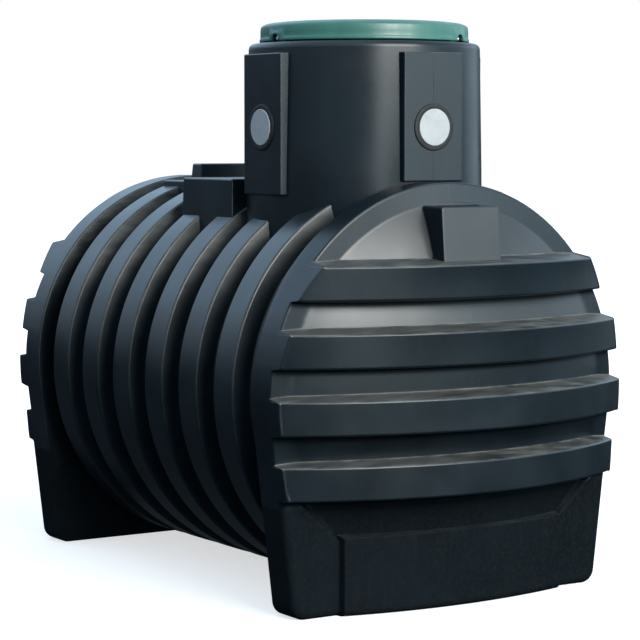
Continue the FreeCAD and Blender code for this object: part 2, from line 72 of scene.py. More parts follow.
# A bent line whose inner corners give way to curves: each starts and ends the cut length
# away from its corner and is drawn towards it, as a quadratic curve.
def roundedLine(corners, cuts, steps=6):
    corner = np.asarray(corners, float)
    cut = np.broadcast_to(np.asarray(cuts, float), (len(corner) - 2,))[:, None]
    before = corner[:-2] - corner[1:-1]
    after = corner[2:] - corner[1:-1]
    start = corner[1:-1] + before / np.linalg.norm(before, axis=1, keepdims=True) * cut
    end = corner[1:-1] + after / np.linalg.norm(after, axis=1, keepdims=True) * cut
    t = np.linspace(0, 1, steps)[None, :, None]
    curve = (1 - t) ** 2 * start[:, None] + 2 * t * (1 - t) * corner[1:-1, None] + t * t * end[:, None]
    return np.concatenate([corner[:1], curve.reshape(-1, corner.shape[1]), corner[-1:]])


# Each point takes the mean direction of its faces, weighted by their areas, so broad faces stay flat.
def weighNormals(mesh):
    count = len(mesh.polygons)
    normals, areas, corners = np.empty(count * 3), np.empty(count), np.empty(len(mesh.loops), int)
    sides = np.empty(count, int)
    mesh.polygons.foreach_get("normal", normals)
    mesh.polygons.foreach_get("area", areas)
    mesh.polygons.foreach_get("loop_total", sides)
    mesh.loops.foreach_get("vertex_index", corners)
    total = np.zeros((len(mesh.vertices), 3))
    np.add.at(total, corners, np.repeat(normals.reshape(-1, 3) * areas[:, None], sides, 0))
    total = total / np.maximum(np.linalg.norm(total, axis=1, keepdims=True), 1e-12)
    mesh.normals_split_custom_set_from_vertices(total.tolist())


# Sheets of points become one welded mesh: each point of a sheet joins its next neighbours as a quad.
def makePiece(name, sheets, nodes, material):
    points, quads, count = [], [], 0
    for sheet in sheets:
        rows, cols = sheet.shape[:2]
        index = np.arange(rows * cols).reshape(rows, cols) + count
        corners = (index[:-1, :-1], index[:-1, 1:], index[1:, 1:], index[1:, :-1])
        quads.append(np.stack(corners, -1).reshape(-1, 4))
        points.append(sheet.reshape(-1, 3))
        count += rows * cols
    mesh = bpy.data.meshes.new(name)
    mesh.from_pydata(np.concatenate(points).tolist(), [], np.concatenate(quads).tolist())
    work = bmesh.new()
    work.from_mesh(mesh)
    bmesh.ops.remove_doubles(work, verts=work.verts, dist=2e-5)
    bmesh.ops.dissolve_degenerate(work, edges=work.edges, dist=2e-5)
    bmesh.ops.recalc_face_normals(work, faces=work.faces)
    work.to_mesh(mesh)
    work.free()
    mesh.shade_smooth()
    weighNormals(mesh)
    mesh.materials.append(material)
    piece = bpy.data.objects.new(name, mesh)
    bpy.context.scene.collection.objects.link(piece)
    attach(piece, "root")
    if nodes:
        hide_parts(*nodes)
    return piece


# The same sheets at the other end: x changes its sign.
def mirrorX(sheets):
    return [sheet * np.array([-1.0, 1.0, 1.0]) for sheet in sheets]


# The same sheets on the other side: y changes its sign.
def mirrorY(sheets):
    return [sheet * np.array([1.0, -1.0, 1.0]) for sheet in sheets]


# A block with round edges: the points of a small ball, moved out to the eight corners of a smaller block.
# The draft pulls the four sides in towards the top.
def blockSheet(low, high, radius, draft=0.0, steps=5):
    low, high = np.asarray(low, float), np.asarray(high, float)
    quarter = np.linspace(0, math.pi / 2, steps)
    turn = np.concatenate([quarter + k * math.pi / 2 for k in range(4)] + [[2 * math.pi]])
    turnSignX = np.concatenate([np.full(steps, s) for s in (1, -1, -1, 1)] + [[1]])
    turnSignY = np.concatenate([np.full(steps, s) for s in (1, 1, -1, -1)] + [[1]])
    rise = np.concatenate([quarter - math.pi / 2, quarter])
    riseSign = np.concatenate([np.full(steps, -1), np.full(steps, 1)])
    half = (high - low) / 2 - radius
    x = radius * np.cos(rise)[:, None] * np.cos(turn) + turnSignX * half[0]
    y = radius * np.cos(rise)[:, None] * np.sin(turn) + turnSignY * half[1]
    z = radius * np.sin(rise)[:, None] + (riseSign * half[2])[:, None] + 0 * turn
    up = (z / (half[2] + radius) + 1) / 2
    x = x * (1 - draft * up / (half[0] + radius))
    y = y * (1 - draft * up / (half[1] + radius))
    body = np.stack([x, y, z], -1)
    poles = [np.broadcast_to([0, 0, ring[0, 2]], ring.shape) for ring in (body[0], body[-1])]
    caps = [np.stack([body[0], poles[0]]), np.stack([body[-1], poles[1]])]
    return [sheet + (low + high) / 2 for sheet in [body] + caps]


# A profile of radius and height, turned about the upright neck axis.
def turnOnNeck(radius, height, turns):
    return np.stack(
        [
            tank["neckX"] + radius * np.cos(turns),
            radius * np.sin(turns),
            height + 0 * turns,
        ],
        -1,
    )


# The barrel: a corrugated line, turned about the barrel axis; the inner line is one skin further in.
barrel = dict(end=0.700, pitch=0.213, ribs=6, crownHalf=0.052, baseHalf=0.063, crownCut=0.007,
              rootCut=0.012, turns=240, ledgeX=(-0.60, -0.165), ledgeHalf=0.203, ledgeTop=1.231)


def barrelSheets():
    b = barrel
    middles = (np.arange(b["ribs"]) - (b["ribs"] - 1) / 2) * b["pitch"]
    skin = tank["skin"]

    # Four corners for each rib, between two ends at groove height.
    def corrugation(crownHalf, baseHalf, crown, groove):
        across = np.array([-baseHalf, -crownHalf, crownHalf, baseHalf])
        up = np.array([groove, crown, crown, groove])
        x = (middles[:, None] + across).ravel()
        ends = np.array([[-b["end"], groove]]), np.array([[b["end"], groove]])
        return np.concatenate([ends[0], np.stack([x, np.tile(up, b["ribs"])], 1), ends[1]])

    cuts = np.tile([b["rootCut"], b["crownCut"], b["crownCut"], b["rootCut"]], b["ribs"])
    outer = roundedLine(corrugation(b["crownHalf"], b["baseHalf"], tank["crown"], tank["groove"]), cuts, 5)
    inner = corrugation(b["crownHalf"] - skin, b["baseHalf"] - skin,
                        tank["crown"] - skin, tank["groove"] - skin)
    loop = np.concatenate([outer, inner[::-1], outer[:1]])
    turn = np.linspace(0, 2 * math.pi, b["turns"] + 1)
    x = loop[:, :1] + 0 * turn
    y = loop[:, 1:] * np.sin(turn)
    z = tank["axis"] + loop[:, 1:] * np.cos(turn)
    under = (x > b["ledgeX"][0]) & (x < b["ledgeX"][1]) & (np.abs(y) < b["ledgeHalf"])
    z = np.where(under, np.minimum(z, b["ledgeTop"]), z)  # the ribs stop under the ledge
    return [np.stack([x, y, z], -1)]


# The end: how far out the moulding stands at each place of its outline, so x is a height over y and z.
endShape = dict(start=0.691, edge=0.799, ringIn=0.561, ringRise=0.008, ball=1.2934, ballX=-0.3584,
                crease=0.002, bore=0.548, wall=0.012, rim=0.007, backRim=0.006, webLean=0.008)
footShape = dict(half=0.551, corner=0.045, face=0.819, rim=0.020, hipY=0.405, hipZ=0.225, hipSlope=0.95,
                 hipSteep=3.6, softness=0.008, rimFade=(0.335, 0.375))
panelShape = dict(half=0.396, front=0.890, curve=1.630, top=0.2295, steep=7.0, topSteep=5.0,
                  edge=0.007, root=0.007)
barShape = dict(middles=(0.9665, 0.7775, 0.5885, 0.3995), apex=1.025, curve=1.158, half=0.0485, slope=0.15,
                rounding=0.006, fillet=0.006, reach=0.060, proud=(0.004, 0.012))
seamShape = dict(height=0.0002, width=0.0018)


# A ball cap inside a nearly flat ring.
def dishHeight(y, z):
    e = endShape
    r = offAxis(y, z)
    ball = e["ballX"] + np.sqrt(np.maximum(e["ball"] ** 2 - r ** 2, 0.25))
    ring = e["edge"] + e["ringRise"] * np.clip((tank["crown"] - r) / (tank["crown"] - e["ringIn"]), 0, 1)
    return softMax(ball, ring, e["crease"])


# A flat face beside the panel, cut off along a slanting line on each side.
def footHeight(y, z):
    f = footShape
    beyond = (z - f["hipZ"] - f["hipSlope"] * (np.abs(y) - f["hipY"])) / math.hypot(1, f["hipSlope"])
    return softMin(f["face"] + 0 * y, f["face"] - f["hipSteep"] * beyond, f["softness"])


# Part of an upright drum with falling sides and top.
def panelHeight(y, z):
    p = panelShape
    front = p["front"] - p["curve"] + np.sqrt(p["curve"] ** 2 - y ** 2)
    side = front + p["steep"] * (p["half"] - np.abs(y))
    top = front + p["topSteep"] * (p["top"] - z)
    return softMin(softMin(front, side, p["edge"]), top, p["edge"])


# A bar follows an upright drum; from its front it falls away above and below, round a circle at the edge.
def barHeight(y, z, middle):
    b = barShape
    setBack = b["apex"] - 2 * b["curve"] + math.sqrt(b["curve"] ** 2 - (middle - tank["axis"]) ** 2)
    front = setBack + np.sqrt(b["curve"] ** 2 - y ** 2)
    beyond = np.abs(z - middle) - b["half"]
    turn = math.atan2(1, b["slope"])
    reach = b["rounding"] * math.tan(turn / 2)
    onArc = np.clip(beyond + reach, 0, b["rounding"])
    arc = np.sqrt(b["rounding"] ** 2 - onArc ** 2) - b["rounding"]
    fall = np.where(beyond < b["rounding"] * math.sin(turn) - reach, arc, -beyond / b["slope"])
    return front + fall


# The surface behind the bars: the highest of dish, foot and panel, with fillets between them.
def backHeight(y, z):
    x = softMax(dishHeight(y, z), footHeight(y, z), footShape["softness"])
    return softMax(x, panelHeight(y, z), panelShape["root"])


# The whole front: the bars on that surface, and a thin mould seam down the middle.
def endHeight(y, z):
    x = backHeight(y, z)
    for middle in barShape["middles"]:
        x = softMax(x, barHeight(y, z, middle), barShape["fillet"])
    return x + seamShape["height"] * np.exp(-(y / seamShape["width"]) ** 2)


# From the front edge round the rim, back along the outline, in over the web and along the inside
# to the middle.
def bandSheet(py, pz, ny, nz, rim, front):
    e = endShape
    py, pz, ny, nz, rim, front = [np.asarray(value, float)[:, None] for value in (py, pz, ny, nz, rim, front)]
    swing = np.linspace(0, math.pi / 2, 6)[None]
    along = np.linspace(0, 1, 7)[None, 1:]
    backSwing = np.linspace(0, math.pi / 2, 4)[None, 1:]
    inset = np.concatenate(
        [rim * (1 - np.sin(swing)), 0 * rim * along, e["backRim"] * (1 - np.cos(backSwing)) + 0 * rim], 1
    )
    rimEnd = front - rim
    webEnd = e["start"] + e["webLean"]
    x = np.concatenate(
        [
            front - rim * (1 - np.cos(swing)),
            rimEnd + (webEnd + e["backRim"] - rimEnd) * along,
            webEnd + e["backRim"] * (1 - np.sin(backSwing)) + 0 * rim,
        ],
        1,
    )
    y = py - inset * ny
    z = pz - inset * nz
    far = offAxis(py, pz)
    outY, outZ = py / far, (pz - tank["axis"]) / far
    shrink = np.linspace(1, 0, 7)[None] * e["bore"]
    inside = e["ballX"] + np.sqrt((e["ball"] - e["wall"]) ** 2 - shrink ** 2) + 0 * rim
    x = np.concatenate([x, e["start"] + 0 * rim, inside], 1)
    y = np.concatenate([y, e["bore"] * outY, shrink * outY], 1)
    z = np.concatenate([z, tank["axis"] + e["bore"] * outZ, tank["axis"] + shrink * outZ], 1)
    return np.stack([x, y, z], -1)


# The outline beside a front edge of given height: a corner circle, a straight flank, then the round top.
# It gives the place, the outward direction and the rim size; the edge lies one rim inside.
def sideLine(z):
    e, f, crown, axis = endShape, footShape, tank["crown"], tank["axis"]
    lean = math.atan2(f["half"], axis) + math.acos(crown / math.hypot(f["half"], axis)) - math.pi / 2
    cornerY = f["half"] - f["corner"] * (1 + math.sin(lean)) / math.cos(lean)
    inner = f["corner"] - f["rim"]
    rim = e["rim"] + (f["rim"] - e["rim"]) * (1 - ramp(z, *f["rimFade"]))
    onCorner = np.arcsin(np.clip((z - f["corner"]) / inner, -1, 1))
    onCircle = np.arcsin(np.clip((z - axis) / (crown - rim), -1, 1))
    flankZ = z + rim * math.sin(lean)
    flankY = crown * math.cos(lean) - (flankZ - axis - crown * math.sin(lean)) * math.tan(lean)
    isCorner = z < f["corner"] + inner * math.sin(lean)
    isFlank = onCircle < lean
    turn = np.where(isCorner, onCorner, np.maximum(onCircle, lean))
    py = np.where(isFlank, flankY, crown * np.cos(turn))
    pz = np.where(isFlank, flankZ, axis + crown * np.sin(turn))
    py = np.where(isCorner, cornerY + f["corner"] * np.cos(turn), py)
    pz = np.where(isCorner, f["corner"] * (1 + np.sin(turn)), pz)
    return py, pz, np.cos(turn), np.sin(turn), rim


# The height at which the upper or lower side of a bar meets the surface behind it, found by halving.
def creaseHeight(y, middle, way):
    near = middle + way * barShape["half"] + 0 * y
    far = near + way * barShape["reach"]
    for step in range(30):
        half = (near + far) / 2
        inBar = barHeight(y, half, middle) > backHeight(y, half)
        near, far = np.where(inBar, half, near), np.where(inBar, far, half)
    return near


# Grid lines over the width y, from the foot to the top: they follow the creases and edges of bars and ring.
def rowHeights(y):
    def between(low, high, shares):
        return low + (high - low) * np.asarray(shares)[:, None]

    def beside(line, offsets):
        return line + np.asarray(offsets)[:, None]

    e, b, axis = endShape, barShape, tank["axis"]
    fillet = [-0.0050, -0.0030, -0.0018, -0.0010, -0.0005, 0.0, 0.0005, 0.0010, 0.0018]
    edge = [-0.0011, -0.0008, -0.0005, 0.0, 0.0007, 0.0016, 0.0027, 0.0039, 0.0052, 0.0068]
    swing = np.linspace(-math.pi / 2, -0.12, 10)
    corner = footShape["corner"] + (footShape["corner"] - footShape["rim"]) * np.sin(swing)
    runs = ((0.048, 0.215, 24), (0.218, 0.250, 26), (0.254, 0.300, 14))  # closest at the panel's top
    foot = np.concatenate([corner] + [np.linspace(*run) for run in runs])
    rows = [foot[:, None] + 0 * y]
    last = rows[0][-1]
    for middle in b["middles"][::-1]:
        low, high = creaseHeight(y, middle, -1), creaseHeight(y, middle, 1)
        rows += [between(last, low + fillet[0], [0.2, 0.4, 0.6, 0.8]), beside(low, fillet)]
        rows += [between(low + fillet[-1], middle - b["half"] + edge[0], [0.33, 0.66])]
        rows += [beside(middle - b["half"] + 0 * y, edge), beside(middle + 0 * y, [-0.02, 0.0, 0.02])]
        rows += [beside(middle + b["half"] + 0 * y, [-step for step in edge[::-1]])]
        rows += [between(middle + b["half"] - edge[0], high - fillet[-1], [0.33, 0.66])]
        rows += [beside(high, [-step for step in fillet[::-1]])]
        last = rows[-1][-1]
    ringLine = axis + np.sqrt(np.maximum(e["ringIn"] ** 2 - y ** 2, 0))
    rimLine = axis + np.sqrt(np.maximum((tank["crown"] - e["rim"]) ** 2 - y ** 2, 0))
    upper = [between(last, ringLine - 0.009, np.linspace(0.04, 1, 22))]
    upper += [beside(ringLine, [-0.006, -0.004, -0.002, 0.0, 0.002, 0.004, 0.006, 0.009])]
    upper += [between(ringLine + 0.009, rimLine, [0.2, 0.4, 0.6, 0.8, 0.93, 1.0])]
    rows += [np.clip(np.concatenate(upper), last, np.maximum(rimLine, last))]
    return np.maximum.accumulate(np.concatenate(rows), 0)


# The front is a height field on those lines; columns that pass the outline gather on it.
def endSheets():
    half = np.concatenate([
        [0, 0.001, 0.002, 0.003, 0.0045, 0.008], np.arange(0.017, 0.360, 0.0095),
        np.arange(0.360, 0.384, 0.006), np.arange(0.386, 0.414, 0.0016), np.arange(0.420, 0.640, 0.0095),
    ])
    columns = np.concatenate([-half[:0:-1], half])
    step = 0.002
    table = rowHeights(np.arange(0, 0.66, step))
    line = np.arange(len(table))[:, None]
    y = np.broadcast_to(columns, (len(table), len(columns)))
    for settle in range(14):
        spot = np.abs(y) / step
        left = np.floor(spot).astype(int)
        z = table[line, left] * (left + 1 - spot) + table[line, left + 1] * (spot - left)
        py, pz, ny, nz, rim = sideLine(z)
        limit = py - rim * ny
        y = np.clip(columns, -limit, limit)
    front = np.stack([endHeight(y, z), y, z], -1)
    py, pz, ny, nz, rim = sideLine(z[:, -1])
    band = bandSheet(py, pz, ny, nz, rim, front[:, -1, 0])
    crown, axis = tank["crown"], tank["axis"]
    far = offAxis(y[-1], z[-1])
    ny, nz = y[-1] / far, (z[-1] - axis) / far
    cap = bandSheet(crown * ny, axis + crown * nz, ny, nz, crown - far, front[-1, :, 0])
    flat = np.full(len(columns), footShape["rim"])
    sole = bandSheet(y[0], 0 * y[0], 0 * y[0], 0 * y[0] - 1, flat, front[0, :, 0])
    return [front, band, cap, sole] + mirrorY([band])


# The wedge over the top bar: a rounded front carried along an upside-down U, with a fillet on the dish.
wedgeShape = dict(half=0.104, low=0.985, top=1.180, front=0.913, lean=0.09, leanZ=1.085, corner=0.010,
                  rounding=0.005, fillet=0.007, sink=0.001, back=0.80)


def wedgeSheets():
    w = wedgeShape
    corners = [(-w["half"], w["low"]), (-w["half"], w["top"]), (w["half"], w["top"]), (w["half"], w["low"])]
    bend = roundedLine(corners, w["corner"], 8)
    share = np.linspace(0, 1, 24)[:, None]

    def straight(k):
        return bend[k] + (bend[k + 1] - bend[k]) * share

    path = np.concatenate([straight(0), bend[2:8], straight(8), bend[10:16], straight(16)])
    along = np.gradient(path, axis=0)
    along = along / np.linalg.norm(along, axis=1, keepdims=True)
    outY, outZ = -along[:, 1:], along[:, :1]
    swing = np.linspace(0, math.pi / 2, 6)[None]
    inset = np.concatenate([w["rounding"] * (1 - np.sin(swing)) + 0 * outY, 0 * outY], 1)
    fall = np.concatenate([w["rounding"] * (1 - np.cos(swing)) + 0 * outY, w["rounding"] + 0 * outY], 1)
    y, z = path[:, :1] - inset * outY, path[:, 1:] - inset * outZ
    x = w["front"] - w["lean"] * (z - w["leanZ"]) - fall
    root = np.minimum(endHeight(path[:, :1], path[:, 1:]) + w["fillet"], x[:, -1:])
    t = np.linspace(0, 1, 7)[None]
    footY, footZ = path[:, :1] + w["fillet"] * outY, path[:, 1:] + w["fillet"] * outZ
    footX = np.minimum(endHeight(footY, footZ) - w["sink"], root)
    bottomX = np.minimum(root - w["fillet"], footX)
    curveX = (1 - t) ** 2 * root + 2 * t * (1 - t) * bottomX + t * t * footX
    curveY = (1 - t) ** 2 * path[:, :1] + 2 * t * (1 - t) * path[:, :1] + t * t * footY
    curveZ = (1 - t) ** 2 * path[:, 1:] + 2 * t * (1 - t) * path[:, 1:] + t * t * footZ
    sheet = np.stack([np.concatenate(pair, 1) for pair in ((x, curveX), (y, curveY), (z, curveZ))], -1)
    pole = np.array([w["front"] - w["lean"] * (w["low"] - w["leanZ"]), 0.0, w["low"]])
    middle = sheet[:, :1] + (pole - sheet[:, :1]) * np.array([1.0, 0.04])[:, None]
    back = np.broadcast_to([w["back"], 0.0, w["low"]], (len(path), 3))[:, None]
    sheet = np.concatenate([middle, sheet, back], 1)
    return [np.concatenate([sheet, sheet[:1]])]


# The neck: an upright profile turned about the neck axis; its lower edge follows the barrel.
neckShape = dict(foot=0.366, top=0.358, straight=1.249, shoulder=1.668, shoulderCut=0.020, collar=0.310,
                 hatch=0.300, collarTop=1.700, skin=0.010, root=1.10, sink=0.006, turns=192)


def neckSheets():
    n = neckShape
    inner = n["shoulder"] - n["skin"]
    corners = [
        (n["foot"], n["root"]), (n["foot"], n["straight"]), (n["top"], n["shoulder"]),
        (n["collar"], n["shoulder"]), (n["collar"], n["collarTop"]), (n["hatch"], n["collarTop"]),
        (n["hatch"], inner), (n["top"] - n["skin"], inner), (n["foot"] - n["skin"], n["straight"]),
        (n["foot"] - n["skin"], n["root"]),
    ]
    cuts = [0.05, n["shoulderCut"], 0.004, 0.003, 0.003, 0.003, 0.012, 0.05]
    line = roundedLine(corners, cuts, 6)
    loop = np.concatenate([line, line[:1]])
    turn = np.linspace(0, 2 * math.pi, n["turns"] + 1)
    radius, height = loop[:, :1] + 0 * turn, loop[:, 1:] + 0 * turn
    sheet = turnOnNeck(radius, height, turn)
    low = tank["axis"] + np.sqrt((tank["groove"] - n["sink"]) ** 2 - sheet[..., 1] ** 2)
    sheet[[0, -2, -1], :, 2] = low[[0, -2, -1]]
    return [sheet]


# A profile of reach and radius, turned about one of the three level pipe axes.
def turnOnPipe(turnDeg, reach, radius, turns, height):
    a = math.radians(turnDeg)
    sideways = radius * np.cos(turns)
    return np.stack(
        [
            tank["neckX"] + reach * math.cos(a) - sideways * math.sin(a),
            reach * math.sin(a) + sideways * math.cos(a),
            height + radius * np.sin(turns),
        ],
        -1,
    )


padShape = dict(face=0.372, back=0.30, half=0.106, top=1.633, sideLow=1.207, frontLow=1.250, rounding=0.004,
                seamHalf=0.0014, seamProud=0.0006, seamGap=0.004, seamEnd=0.006, seamSink=0.002)
pipeShape = dict(height=1.411, plug=0.055, sleeve=0.061, lip=0.071, lipProud=0.005, plugProud=0.007,
                 seat=0.006, tip=0.001, turns=72)


# A block with round edges that stands out of the neck; the right one mirrors the left one.
def padSheets(side):
    p, x = padShape, tank["neckX"]
    if side == "front":
        low, high = (x + p["back"], -p["half"], p["frontLow"]), (x + p["face"], p["half"], p["top"])
        return blockSheet(low, high, p["rounding"])
    low, high = (x - p["half"], -p["face"], p["sideLow"]), (x + p["half"], -p["back"], p["top"])
    left = blockSheet(low, high, p["rounding"])
    return left if side == "left" else mirrorY(left)


# The mould seam on the front pad: a narrow block below and above the pipe opening.
def padSeamSheets():
    p, gap = padShape, pipeShape["lip"] + padShape["seamGap"]
    x, middle = tank["neckX"] + p["face"], pipeShape["height"]
    sheets = []
    for low, high in ((p["frontLow"] + p["seamEnd"], middle - gap), (middle + gap, p["top"] - p["seamEnd"])):
        start, end = (x - p["seamSink"], -p["seamHalf"], low), (x + p["seamProud"], p["seamHalf"], high)
        sheets += blockSheet(start, end, p["seamProud"])
    return sheets


# A lip round the plug: a closed line of reach and radius, turned about the pipe axis.
def sealSheets(turnDeg):
    p, face, tip = pipeShape, padShape["face"], pipeShape["tip"]
    proud = face + p["lipProud"]
    corners = [
        (face - p["seat"], p["plug"] - tip), (proud - tip, p["plug"] - tip), (proud, p["sleeve"] + tip),
        (proud - tip, p["lip"] - tip), (face - p["seat"], p["lip"]),
    ]
    line = roundedLine(corners, [0.002, 0.002, 0.003], 5)
    loop = np.concatenate([line, line[:1]])
    turns = np.linspace(0, 2 * math.pi, p["turns"] + 1)
    return [turnOnPipe(turnDeg, loop[:, :1] + 0 * turns, loop[:, 1:], turns, p["height"])]


# A flat round cap: a bent line of reach and radius from the axis out and back, turned about the pipe axis.
def plugSheets(turnDeg):
    p = pipeShape
    back, top = padShape["face"] - p["seat"], padShape["face"] + p["plugProud"]
    corners = [(back, 0.0), (back, p["plug"]), (top, p["plug"]), (top, 0.0)]
    line = roundedLine(corners, [0.001, 0.0025], 5)
    turns = np.linspace(0, 2 * math.pi, p["turns"] + 1)
    return [turnOnPipe(turnDeg, line[:, :1] + 0 * turns, line[:, 1:], turns, p["height"])]


# The cover: a profile turned about the neck axis; near each screw the rim swells and its lower edge rises
# in an arch round the screw.
lidShape = dict(rim=0.3245, low=1.672, edge=1.718, top=1.735, flat=1.729, lip=0.0025, inner=0.313,
                domeEnd=(0.262, 1.731), flatX=(0.268, 0.303), flatRise=0.002, seat=1.701,
                ceiling=((0.300, 1.7015), (0.0, 1.722)), turns=(-90, 30, 150), notch=0.025, notchZ=1.667,
                boss=0.0035, bossMost=0.005, bossHalf=0.046, bossTop=1.704)


def lidSheets():
    d = lidShape
    far = d["rim"] - d["lip"]
    corners = [
        (0, d["top"]), d["domeEnd"], (d["flatX"][0], d["flat"] + d["flatRise"]), (d["flatX"][1], d["flat"]),
        (far - 0.002, d["edge"] + 0.003), (far, d["edge"] - 0.012),
    ]
    top = roundedLine(corners, [0.02, 0.004, 0.008, 0.006], 7)
    near = np.linspace(-1, 1, 41) * d["bossHalf"] * 1.3 / d["rim"]
    spots = np.radians(np.array(d["turns"]) % 360)
    closer = (spots[:, None] + near).ravel() % (2 * math.pi)
    turn = np.sort(np.concatenate([np.linspace(0, 2 * math.pi, 181), closer]))
    away = np.abs((turn[:, None] - spots + math.pi) % (2 * math.pi) - math.pi).min(1) * d["rim"]
    arch = d["notchZ"] + np.sqrt(np.maximum(d["notch"] ** 2 - away ** 2, 0))
    lowZ = np.maximum(d["low"], np.where(away < d["notch"], arch, 0))
    swell = d["boss"] * (1 - ramp(away, d["bossHalf"] * 0.72, d["bossHalf"]))
    startZ = top[-1, 1]
    drop = np.array([0.25, 0.5, 0.66, 0.72, 0.78, 0.9, 1.0])[:, None]
    skirtZ = startZ + (lowZ - startZ) * drop
    lipOut = d["lip"] * ramp(drop, 0.62, 0.76)
    swellZ = 1 - ramp(skirtZ, d["bossTop"] - 0.008, d["bossTop"])
    skirtR = far + np.maximum(lipOut, np.minimum(swell * swellZ, d["bossMost"]))
    innerZ = np.array([1.0, 0.5, 0.0])[:, None]
    insideZ = lowZ * innerZ + d["seat"] * (1 - innerZ)
    ceilingR, ceilingZ = np.array(d["ceiling"]).T[:, :, None]
    radius = np.concatenate([top[:, :1] + 0 * turn, skirtR, d["inner"] + 0 * insideZ, ceilingR + 0 * turn])
    height = np.concatenate([top[:, 1:] + 0 * turn, skirtZ, insideZ, ceilingZ + 0 * turn])
    return [turnOnNeck(radius, height, turn)]


# A round head with a shallow hollow, turned about a level axis at each notch of the cover.
screwShape = dict(start=0.306, end=0.318, radius=0.008, hollow=0.004, depth=0.002, height=1.681, turns=24)


def screwSheets():
    s = screwShape
    inward = s["end"] - s["depth"]
    corners = [
        (s["start"], 0.0), (s["start"], s["radius"]), (s["end"], s["radius"]), (s["end"], s["hollow"]),
        (inward, s["hollow"] - 0.001), (inward, 0.0),
    ]
    line = roundedLine(corners, [0.001, 0.003, 0.0006, 0.0006], 4)
    reach, radius = line[:, :1], line[:, 1:]
    turns = np.linspace(0, 2 * math.pi, s["turns"] + 1)
    return [turnOnPipe(a, reach + 0 * turns, radius, turns, s["height"]) for a in lidShape["turns"]]


# Blocks behind the neck, each from its low to its high corner.
topShape = dict(saddle=((-0.1695, -0.365, 1.040), (0.1500, 0.365, 1.252)),
                ledge=((-0.5955, -0.205, 1.130), (-0.160, 0.205, 1.236)),
                upstand=((-0.400, -0.200, 1.220), (-0.330, 0.200, 1.294)), rounding=0.006, draft=0.006)


print("shapes are defined")


# Nodes of one material: values that name a socket set it, others set the node itself.
def addNode(tree, kind, **values):
    node = tree.nodes.new(kind)
    for key, value in values.items():
        if key in node.inputs:
            node.inputs[key].default_value = value
        else:
            setattr(node, key, value)
    return node


# A fresh material: its tree, its shader and the object coordinates that its patterns follow.
def newMaterial(name):
    material = bpy.data.materials.new(name)
    material.use_nodes = True
    tree = material.node_tree
    tree.nodes.clear()
    shader = addNode(tree, "ShaderNodeBsdfPrincipled")
    output = addNode(tree, "ShaderNodeOutputMaterial")
    tree.links.new(shader.outputs["BSDF"], output.inputs["Surface"])
    place = addNode(tree, "ShaderNodeTexCoord").outputs["Object"]
    return material, tree, shader, place


# Cloudy noise; a stretch draws it out into streaks.
def noise(tree, place, scale, detail=3.0, rough=0.5, stretch=None):
    if stretch:
        mapping = addNode(tree, "ShaderNodeMapping", Scale=stretch)
        tree.links.new(place, mapping.inputs["Vector"])
        place = mapping.outputs["Vector"]
    node = addNode(tree, "ShaderNodeTexNoise", Scale=scale, Detail=detail, Roughness=rough)
    tree.links.new(place, node.inputs["Vector"])
    return node.outputs["Fac"]


# A value carried from one range into another.
def remap(tree, value, low, high, toLow, toHigh):
    node = addNode(tree, "ShaderNodeMapRange")
    node.inputs["From Min"].default_value = low
    node.inputs["From Max"].default_value = high
    node.inputs["To Min"].default_value = toLow
    node.inputs["To Max"].default_value = toHigh
    tree.links.new(value, node.inputs["Value"])
    return node.outputs["Result"]


# Two values, or a value and a number, joined by one operation.
def math2(tree, operation, a, b):
    node = addNode(tree, "ShaderNodeMath", operation=operation)
    for socket, value in zip(node.inputs, (a, b)):
        if isinstance(value, (int, float)):
            socket.default_value = value
        else:
            tree.links.new(value, socket)
    return node.outputs["Value"]


# Two colours mixed by a share of the second.
def blend(tree, share, a, b):
    node = addNode(tree, "ShaderNodeMixRGB")
    tree.links.new(share, node.inputs["Fac"])
    for socket, value in zip((node.inputs["Color1"], node.inputs["Color2"]), (a, b)):
        if isinstance(value, tuple):
            socket.default_value = value + (1,)
        else:
            tree.links.new(value, socket)
    return node.outputs["Color"]


# Layers of fine relief, each laid over the one before.
def bumps(tree, shader, layers):
    normal = None
    for height, strength, distance in layers:
        node = addNode(tree, "ShaderNodeBump", Strength=strength, Distance=distance)
        tree.links.new(height, node.inputs["Height"])
        if normal:
            tree.links.new(normal, node.inputs["Normal"])
        normal = node.outputs["Normal"]
    tree.links.new(normal, shader.inputs["Normal"])


